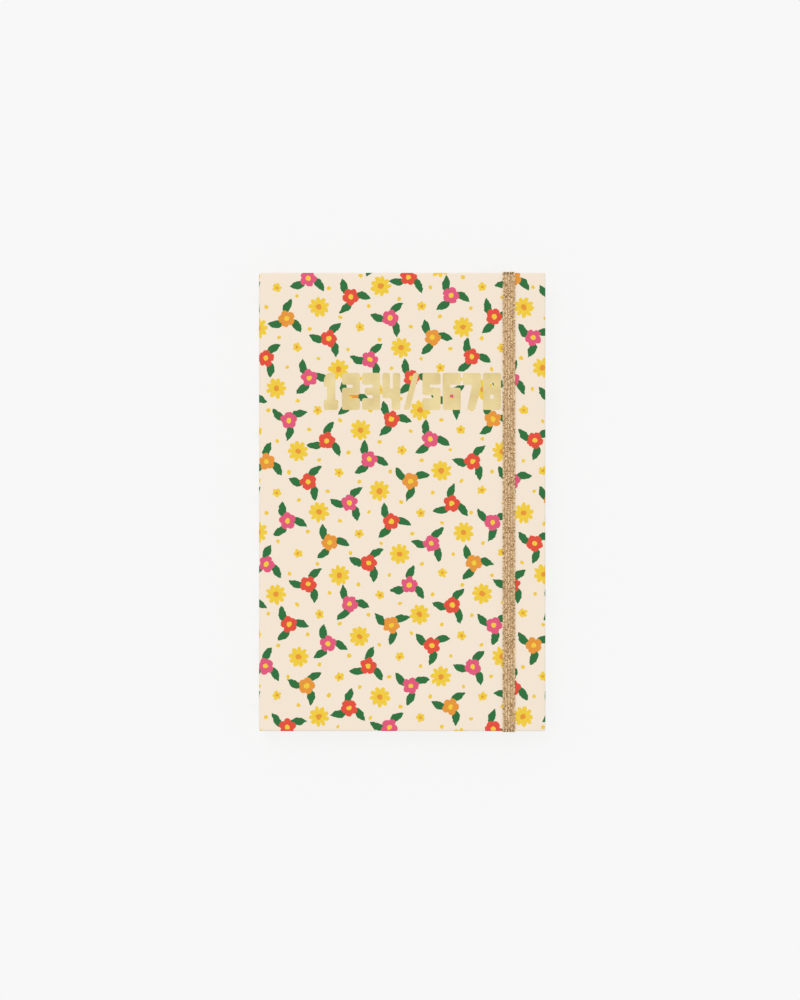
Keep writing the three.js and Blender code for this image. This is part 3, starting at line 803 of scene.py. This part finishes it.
def sheets_tree(material):
    """Folded sheets laid one in the other: each is a grid, bent round the fold of its own radius."""
    tree = new_group(
        "folded section", "GeometryNodeTree",
        {"Geometry": "Geometry", "Sheets": 4, "Leaf pitch": 0.117 * MM, "Fold centre": 0.0,
         "Fore edge": 0.06, "Half height": 0.1, "Middle height": 0.0}, {"Geometry": "Geometry"})
    given = add(tree, "NodeGroupInput").outputs
    line = add(tree, "GeometryNodeMeshLine", {"Count": given["Sheets"], "Offset": (0.0, 0.0, 0.0)})
    grid = add(tree, "GeometryNodeMeshGrid", {
        "Size X": 2.0, "Size Y": 2.0, "Vertices X": 19, "Vertices Y": 9})
    laid = add(tree, "GeometryNodeInstanceOnPoints", {"Points": line, "Instance": grid})
    named = add(tree, "GeometryNodeStoreNamedAttribute", {
        "Geometry": laid, "Name": "sheet_number", "Value": add(tree, "GeometryNodeInputIndex")},
        data_type="FLOAT", domain="INSTANCE")
    real = add(tree, "GeometryNodeRealizeInstances", [named])
    number = add(tree, "GeometryNodeInputNamedAttribute", {"Name": "sheet_number"}, data_type="FLOAT")
    place = add(tree, "ShaderNodeSeparateXYZ", [add(tree, "GeometryNodeInputPosition")]).outputs
    middle = add(tree, "ShaderNodeMath", [number, 0.5], operation="ADD")
    half = add(tree, "ShaderNodeMath", [middle, given["Leaf pitch"]], operation="MULTIPLY")
    # The grid's middle eight ninths go round the fold, and its last rows on both sides reach the fore edge
    far_from_fold = add(tree, "ShaderNodeMath", [place["X"]], operation="ABSOLUTE")
    side = add(tree, "ShaderNodeMath", [place["X"]], operation="SIGN")
    turn = add(tree, "ShaderNodeMapRange", {
        0: far_from_fold, 1: 0.0, 2: 8 / 9, 3: 0.0, 4: QUARTER}, clamp=True)
    share = add(tree, "ShaderNodeMapRange", {
        0: far_from_fold, 1: 8 / 9, 2: 1.0, 3: 0.0, 4: 1.0}, clamp=True)
    cosine = add(tree, "ShaderNodeMath", [turn], operation="COSINE")
    sine = add(tree, "ShaderNodeMath", [turn], operation="SINE")
    round_x = add(tree, "ShaderNodeMath", [half, cosine], operation="MULTIPLY")
    span = add(tree, "ShaderNodeMath", [given["Fore edge"], given["Fold centre"]], operation="SUBTRACT")
    straight = add(tree, "ShaderNodeMath", [span, share, given["Fold centre"]], operation="MULTIPLY_ADD")
    x = add(tree, "ShaderNodeMath", [straight, round_x], operation="SUBTRACT")
    y = add(tree, "ShaderNodeMath", [place["Y"], given["Half height"]], operation="MULTIPLY")
    lift = add(tree, "ShaderNodeMath", [half, sine], operation="MULTIPLY")
    z = add(tree, "ShaderNodeMath", [side, lift, given["Middle height"]], operation="MULTIPLY_ADD")
    where = add(tree, "ShaderNodeCombineXYZ", [x, y, z])
    bent = add(tree, "GeometryNodeSetPosition", {"Geometry": real, "Position": where})
    painted = add(tree, "GeometryNodeSetMaterial", {"Geometry": bent, "Material": material})
    add(tree, "NodeGroupOutput", [painted])
    return tree


def stitches_tree(material):
    """Chains of leaning stitches along the strap: rows of beads, set across the path at an even pitch."""
    tree = new_group(
        "braided strap", "GeometryNodeTree",
        {"Geometry": "Geometry", "Row pitch": 0.46 * MM, "Ribs": 5, "Rib pitch": 1.19 * MM,
         "Stitch length": 0.6 * MM, "Stitch width": 0.41 * MM, "Stitch height": 0.34 * MM, "Lean": 0.45,
         "Seed": 3}, {"Geometry": "Geometry"})
    given = add(tree, "NodeGroupInput").outputs
    bead = add(tree, "GeometryNodeMeshUVSphere", {"Segments": 6, "Rings": 3, "Radius": 0.5})
    # A point's own axes are X across the strap, Y out of it and Z along it
    size = add(tree, "ShaderNodeCombineXYZ", [
        given["Stitch width"], given["Stitch height"], given["Stitch length"]])
    shaped = add(tree, "GeometryNodeTransform", {"Geometry": bead, "Scale": size})
    joined_beads = add(tree, "GeometryNodeJoinGeometry")
    # Two beads make a stitch, side by side and leaning towards each other
    for side in (1, -1):
        lean = add(tree, "ShaderNodeMath", [given["Lean"], float(side)], operation="MULTIPLY")
        offset = add(tree, "ShaderNodeMath", [given["Rib pitch"], 0.17 * side], operation="MULTIPLY")
        moved = add(tree, "GeometryNodeTransform", {
            "Geometry": shaped, "Translation": add(tree, "ShaderNodeCombineXYZ", [offset]),
            "Rotation": add(tree, "ShaderNodeCombineXYZ", {"Y": lean})})
        tree.links.new(moved.outputs[0], joined_beads.inputs[0])
    last = add(tree, "ShaderNodeMath", [given["Ribs"], 1.0], operation="SUBTRACT")
    width = add(tree, "ShaderNodeMath", [last, given["Rib pitch"]], operation="MULTIPLY")
    start = add(tree, "ShaderNodeMath", [width, -0.5], operation="MULTIPLY")
    ribs = add(tree, "GeometryNodeMeshLine", {
        "Count": given["Ribs"], "Start Location": add(tree, "ShaderNodeCombineXYZ", [start]),
        "Offset": add(tree, "ShaderNodeCombineXYZ", [given["Rib pitch"]])})
    row = add(tree, "GeometryNodeRealizeInstances", [
        add(tree, "GeometryNodeInstanceOnPoints", {"Points": ribs, "Instance": joined_beads})])
    dots = add(tree, "GeometryNodeCurveToPoints", {
        "Curve": given["Geometry"], "Length": given["Row pitch"]}, mode="LENGTH")
    laid = add(tree, "GeometryNodeInstanceOnPoints", {
        "Points": dots.outputs["Points"], "Instance": row, "Rotation": dots.outputs["Rotation"]})
    real = add(tree, "GeometryNodeRealizeInstances", [laid])
    # Each bead is an island, and gets a glint of its own
    island = add(tree, "GeometryNodeInputMeshIsland").outputs["Island Index"]
    chance = add(tree, "FunctionNodeRandomValue", {
        2: DULL_YARN, 3: 1.0, "ID": island, "Seed": given["Seed"]}, data_type="FLOAT")
    glint = add(tree, "GeometryNodeStoreNamedAttribute", {
        "Geometry": real, "Name": "glint", "Value": chance.outputs[1]}, data_type="FLOAT", domain="POINT")
    painted = add(tree, "GeometryNodeSetMaterial", {"Geometry": glint, "Material": material})
    add(tree, "NodeGroupOutput", [painted])
    return tree


def grow(name, data, tree, values):
    """Runs a tree on a mesh or curve and returns the result as a plain mesh object."""
    source = new_object(name + "_source", data)
    grown = source.modifiers.new("grown", "NODES")
    grown.node_group = tree
    sockets = {s.name: s.identifier for s in tree.interface.items_tree if s.in_out == "INPUT"}
    for label, value in values.items():
        grown[sockets[label]] = value
    made = evaluated_mesh(source)
    made.name = name
    bpy.data.objects.remove(source)
    return new_object(name, made)


def strap_path(lift, swell=0.0):
    """The strap's middle line from its tucked end at the tail round to the one at the head, in y and z.

    The lift is how far out of the strap's underside the line runs, with a swell where it goes round an edge.
    """
    inner_y = HEAD_Y + STRAP_CLEAR
    tuck_z, inner_z = STRAP_LOW.z + STRAP_DEEP, STRAP_HIGH.z - STRAP_DEEP
    turns = [(HEAD_Y - STRAP_TUCK, tuck_z - lift)]
    for a in steps(-QUARTER, 0, 8):
        reach = LOW_BEND + lift + swell * math.cos(a)
        turns.append((inner_y - LOW_BEND + reach * math.cos(a), tuck_z + LOW_BEND + reach * math.sin(a)))
    turns.append((inner_y + lift + swell, inner_z - HIGH_BEND - 0.5 * MM))
    for a in steps(0, QUARTER, 12):
        reach = HIGH_BEND + lift + swell * math.cos(a)
        turns.append((inner_y - HIGH_BEND + reach * math.cos(a), inner_z - HIGH_BEND + reach * math.sin(a)))
    # The flat part starts and ends with short pieces of its own
    for short in (0.05 * MM, 0.8 * MM):
        turns.append((turns[-1][0] - short, turns[-1][1]))
    return [(-y, z) for y, z in turns] + [(y, z) for y, z in reversed(turns)]


def make_band(name, material):
    """The strap's flat rubber band, closed at its two tucked ends, with its levels of glint."""
    work = bmesh.new()
    half = STRAP_WIDTH / 2 - BAND_INSET
    left, right = STRAP_X - half, STRAP_X + half
    rings = []
    for (y0, z0), (y1, z1) in zip(strap_path(0.0), strap_path(BAND_THICK, BAND_SWELL)):
        corners = (left, y0, z0), (right, y0, z0), (right, y1, z1), (left, y1, z1)
        rings.append([work.verts.new(corner) for corner in corners])
    for a, b in zip(rings, rings[1:]):
        for i in range(4):
            work.faces.new([a[i], a[(i + 1) % 4], b[(i + 1) % 4], b[i]])
    work.faces.new(rings[0])
    work.faces.new(list(reversed(rings[-1])))
    bmesh.ops.recalc_face_normals(work, faces=work.faces)
    band = bpy.data.meshes.new(name)
    work.to_mesh(band)
    work.free()
    band.materials.append(material)
    # Painted shade: the band is darkened between the ribs where the strap bends round the front cover's edges
    flat, rim = HEAD_Y - 0.8 * MM, THICK - 1.2 * MM
    band.attributes.new("glint", "FLOAT", "POINT").data.foreach_set(
        "value", [0.0 if abs(v.co.y) > flat and v.co.z > rim else GROUND for v in band.vertices])
    return new_object(name, band)


# Settings

class PlannerCoverLook(bpy.types.PropertyGroup):
    """Sizes of the cover's print and its foil numerals."""

    print_pitch: FloatProperty(
        name="Print pitch", description="Distance from one blossom to the next",
        default=20.3 * MM, unit="LENGTH")
    row_left: FloatProperty(
        name="Row left", description="Where the row of foil numerals starts",
        default=-35.6 * MM, unit="LENGTH")
    row_bottom: FloatProperty(
        name="Row bottom", description="The foot of the foil numerals",
        default=40.8 * MM, unit="LENGTH")
    row_width: FloatProperty(
        name="Row width", description="Width of the whole row of foil numerals",
        default=79.4 * MM, unit="LENGTH")
    row_height: FloatProperty(
        name="Row height", description="Height of the foil numerals",
        default=16.4 * MM, unit="LENGTH")
    foil_thick: FloatProperty(
        name="Foil thickness", description="How far the foil stands above the paper",
        default=0.03 * MM, unit="LENGTH")


class PlannerPagesLook(bpy.types.PropertyGroup):
    """Sizes of the block's leaves."""

    sheets: IntProperty(
        name="Sheets", description="Folded sheets in a section", default=4, min=1, max=8)
    leaf_thick: FloatProperty(
        name="Leaf thickness", description="Thickness of one leaf", default=0.107 * MM, unit="LENGTH")


class PlannerStageLook(bpy.types.PropertyGroup):
    """The camera, the floor and the light."""

    distance: FloatProperty(
        name="Camera distance", description="Height of the camera above the cover",
        default=1.5, unit="LENGTH")
    view_height: FloatProperty(
        name="View height", description="How much of the table the picture's long side shows",
        default=443.1 * MM, unit="LENGTH")
    aim: FloatVectorProperty(
        name="Aim", description="The point that the camera looks down on",
        size=2, default=(-0.951 * MM, 0.866 * MM), unit="LENGTH")
    floor_colour: FloatVectorProperty(
        name="Floor", description="Colour of the table and backdrop",
        size=4, default=linear("F8F8F8"), subtype="COLOR")
    sky: FloatProperty(
        name="Sky", description="Strength of the even light from all round", default=0.78, min=0.0)
    lamp: FloatProperty(
        name="Lamp", description="Strength of the broad, soft sun lamp", default=0.75, min=0.0)


# Operators

class PLANNER_OT_cover_papers(bpy.types.Operator):
    """Makes the printed paper of both covers, the spine and the creases"""

    bl_idname = "planner.cover_papers"
    bl_label = "Cover papers"

    def execute(self, context):
        paper = printed_paper(context.scene.planner_cover)
        front = make_cover_paper("front_cover_paper", paper, THICK, -1, 1)
        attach(front, "front_case")
        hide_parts("front_wrap")
        back = make_cover_paper("back_cover_paper", paper, 0.0, 1, -1)
        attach(back, "back_case")
        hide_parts("back_wrap")
        spine = make_spine_paper("spine_paper", paper)
        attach(spine, "spine_strip")
        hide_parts("spine_wrap")
        crease = make_crease_paper("front_crease_paper", paper, 1)
        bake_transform(crease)
        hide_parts("front_crease")
        crease = make_crease_paper("back_crease_paper", paper, -1)
        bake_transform(crease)
        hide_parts("back_crease")
        return {"FINISHED"}


class PLANNER_OT_foil_numerals(bpy.types.Operator):
    """Makes the row of plain foil numerals on the front cover"""

    bl_idname = "planner.foil_numerals"
    bl_label = "Foil numerals"

    def execute(self, context):
        numerals = make_numerals("foil_numerals", gold_foil(), context.scene.planner_cover)
        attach(numerals, "front_case")
        return {"FINISHED"}


class PLANNER_OT_boards_and_endpapers(bpy.types.Operator):
    """Gives the boards, the pasted endpapers and the flyleaves their materials"""

    bl_idname = "planner.boards_and_endpapers"
    bl_label = "Boards and endpapers"

    def execute(self, context):
        for material, nodes in (
                (greyboard(), ("front_board", "back_board", "spine_board")),
                (endpaper(), ("front_pastedown", "back_pastedown", "front_flyleaf", "back_flyleaf"))):
            for node in nodes:
                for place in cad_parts[node].material_slots:
                    place.material = material
        return {"FINISHED"}


class PLANNER_OT_sections(bpy.types.Operator):
    """Makes the eight sections of folded sheets, and the lining over their folds"""

    bl_idname = "planner.sections"
    bl_label = "Sections and lining"

    def execute(self, context):
        look = context.scene.planner_pages
        tree = sheets_tree(page_paper())
        for number in range(1, 9):
            node = f"section_{number}"
            low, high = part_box(node)
            height = high.z - low.z
            leaves = grow(f"leaves_{number}", bpy.data.meshes.new("empty"), tree, {
                "Sheets": look.sheets, "Leaf pitch": height / (2 * look.sheets),
                "Fold centre": low.x + height / 2, "Fore edge": high.x, "Half height": high.y,
                "Middle height": (low.z + high.z) / 2})
            thicken(leaves, look.leaf_thick, 0.0)
            # The first four sections turn over with the front cover
            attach(leaves, f"pages_{number}" if number <= 4 else "back_case")
            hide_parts(node)
        lining = make_lining("mull_lining", mull_cloth())
        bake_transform(lining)
        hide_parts("spine_lining")
        return {"FINISHED"}


class PLANNER_OT_day_numbers(bpy.types.Operator):
    """Makes the plain day numbers in the boxes of the month's grid"""

    bl_idname = "planner.day_numbers"
    bl_label = "Day numbers"

    def execute(self, context):
        ink = printed_ink()
        left, right = [], []
        for day in range(DAYS):
            week, weekday = divmod(day, WEEK)
            y = GRID_Y + ROW * (ROWS - week) - NUMBER_DOWN
            # Three days and a column for notes on the left-hand page, four days on the right-hand one
            if weekday < LEFT_DAYS:
                left.append((str(day + 1), -(GRID_X + COLUMN * (LEFT_DAYS - weekday)) + NUMBER_RIGHT, y))
            else:
                right.append((str(day + 1), GRID_X + COLUMN * (weekday - LEFT_DAYS) + NUMBER_RIGHT, y))
        for name, numbers, leaves, body in (
                ("day_numbers_left", left, "leaves_4", "pages_4"),
                ("day_numbers_right", right, "leaves_5", "back_case")):
            made = make_numbers(name, numbers, ink)
            heights = [v.co.z for v in bpy.data.objects[leaves].data.vertices]
            for vertex in made.data.vertices:
                x, y, z = vertex.co
                # The left-hand page lies face down until it is turned, so it is turned back with its numbers
                vertex.co = (-x, y, min(heights) - z) if body == "pages_4" else (x, y, max(heights) + z)
            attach(made, body)
        return {"FINISHED"}


class PLANNER_OT_elastic_strap(bpy.types.Operator):
    """Makes the braided elastic strap with its two tucked ends"""

    bl_idname = "planner.elastic_strap"
    bl_label = "Elastic strap"

    def execute(self, context):
        gold = lurex_elastic()
        band = make_band("elastic_band", gold)
        path = bpy.data.curves.new("strap_path", "CURVE")
        path.dimensions = "3D"
        add_line(path, [(STRAP_X, y, z) for y, z in strap_path(STITCH_LIFT)[1:-1]])
        stitches = grow("elastic_stitches", path, stitches_tree(gold), {})
        for piece in (band, stitches):
            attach(piece, "closure")
            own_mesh(piece)
        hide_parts("elastic_strap")
        return {"FINISHED"}


class PLANNER_OT_stage(bpy.types.Operator):
    """Makes the pale table, the soft light and the camera straight above"""

    bl_idname = "planner.stage"
    bl_label = "Stage"

    def execute(self, context):
        scene, look = context.scene, context.scene.planner_stage
        camera = bpy.data.cameras.new("camera")
        camera.sensor_width = 36.0
        camera.lens = camera.sensor_width * look.distance / look.view_height
        camera.clip_start, camera.clip_end = 0.05, 20.0
        scene.camera = new_object("camera", camera)
        scene.camera.location = (look.aim[0], look.aim[1], THICK + look.distance)

        paper, tree = new_material("matt_backdrop_paper")
        matt = add(tree, "ShaderNodeBsdfDiffuse", {"Color": list(look.floor_colour)})
        pale = add(tree, "ShaderNodeEmission", {"Color": list(look.floor_colour), "Strength": 1.0})
        # To the camera the paper is mostly its own even colour, so that only a faint shadow lies on it
        path = add(tree, "ShaderNodeLightPath").outputs
        seen = add(tree, "ShaderNodeMath", [path["Is Camera Ray"], 0.85], operation="MULTIPLY")
        add(tree, "ShaderNodeOutputMaterial", [add(tree, "ShaderNodeMixShader", [seen, matt, pale])])
        table = bpy.data.meshes.new("floor")
        table.from_pydata([(-3, -3, 0), (3, -3, 0), (3, 3, 0), (-3, 3, 0)], [], [(0, 1, 2, 3)])
        table.materials.append(paper)
        new_object("floor", table)

        scene.world = bpy.data.worlds.new("sky")
        scene.world.use_nodes = True
        tree = scene.world.node_tree
        tree.nodes.clear()
        path = add(tree, "ShaderNodeLightPath").outputs
        clear = add(tree, "ShaderNodeMath", [
            path["Is Camera Ray"], path["Is Transmission Ray"]], operation="MAXIMUM")
        seen = add(tree, "ShaderNodeMath", [clear, path["Is Glossy Ray"]], operation="MAXIMUM")
        light = add(tree, "ShaderNodeBackground", {"Color": (1.0, 1.0, 1.0, 1.0), "Strength": look.sky})
        drop = add(tree, "ShaderNodeBackground", {"Color": list(look.floor_colour), "Strength": 1.0})
        add(tree, "ShaderNodeOutputWorld", [add(tree, "ShaderNodeMixShader", [seen, light, drop])])

        lamp = bpy.data.lights.new("soft_lamp", "SUN")
        lamp.angle, lamp.energy = math.radians(50), look.lamp
        towards = Vector((-0.25, 0.5, 1.0))
        new_object("soft_lamp", lamp).rotation_euler = towards.to_track_quat("Z", "Y").to_euler()

        scene.view_settings.view_transform = "Standard"
        return {"FINISHED"}


class PLANNER_PT_build(bpy.types.Panel):
    """Lists the pieces and their sizes"""

    bl_idname = "PLANNER_PT_build"
    bl_label = "Monthly planner"
    bl_space_type = "VIEW_3D"
    bl_region_type = "UI"
    bl_category = "Planner"

    def draw(self, context):
        for name, group in GROUPS.items():
            box = self.layout.box()
            for setting in group.__annotations__:
                box.prop(getattr(context.scene, name), setting)
        for operator in OPERATORS:
            self.layout.operator(operator.bl_idname)


GROUPS = {
    "planner_cover": PlannerCoverLook,
    "planner_pages": PlannerPagesLook,
    "planner_stage": PlannerStageLook,
}
OPERATORS = (
    PLANNER_OT_stage,
    PLANNER_OT_cover_papers,
    PLANNER_OT_foil_numerals,
    PLANNER_OT_boards_and_endpapers,
    PLANNER_OT_sections,
    PLANNER_OT_day_numbers,
    PLANNER_OT_elastic_strap,
)


def register():
    for name, group in GROUPS.items():
        bpy.utils.register_class(group)
        setattr(bpy.types.Scene, name, PointerProperty(type=group))
    for made in (*OPERATORS, PLANNER_PT_build):
        bpy.utils.register_class(made)


def unregister():
    for made in reversed((*OPERATORS, PLANNER_PT_build)):
        bpy.utils.unregister_class(made)
    for name, group in reversed(GROUPS.items()):
        delattr(bpy.types.Scene, name)
        bpy.utils.unregister_class(group)


def main():
    register()
    for operator in OPERATORS:
        group, name = operator.bl_idname.split(".")
        getattr(getattr(bpy.ops, group), name)()


if __name__ == "__main__":
    main()
